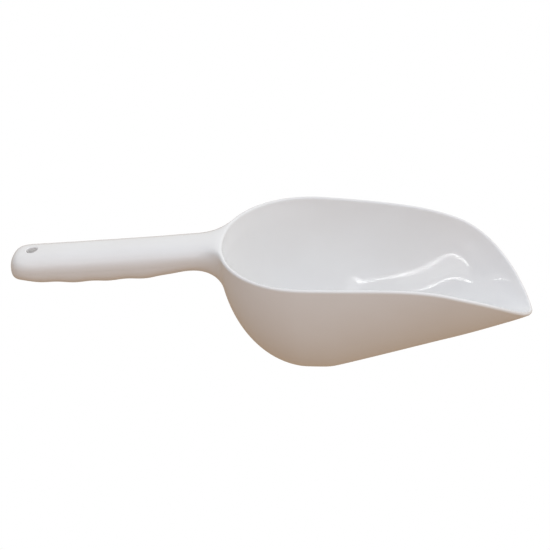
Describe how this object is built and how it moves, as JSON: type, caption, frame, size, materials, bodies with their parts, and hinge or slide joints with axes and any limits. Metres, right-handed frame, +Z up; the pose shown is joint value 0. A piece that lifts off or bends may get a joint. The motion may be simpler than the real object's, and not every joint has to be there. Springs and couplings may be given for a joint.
{
  "type": "ice scoop",
  "caption": "Plastic ice scoop: deep open bowl drawn down to a rounded lip, flared neck, hollow finger grip with a hanging hole, flat underside.",
  "frame": {"origin": "centre of the flat under the bowl, on which the scoop stands level", "axes": "+X along the scoop towards the lip, +Z up, and the scoop is symmetric across Y"},
  "size_m": [0.3229, 0.1142, 0.0792],
  "materials": {
    "body_plastic": "smooth moulded gloss white, very slightly warm",
    "shell_plastic": "smooth moulded gloss white, as the body"
  },
  "bodies": {
    "root": {"scoop_body": "body_plastic", "handle_lower_shell": "shell_plastic"}
  },
  "joints": []
}
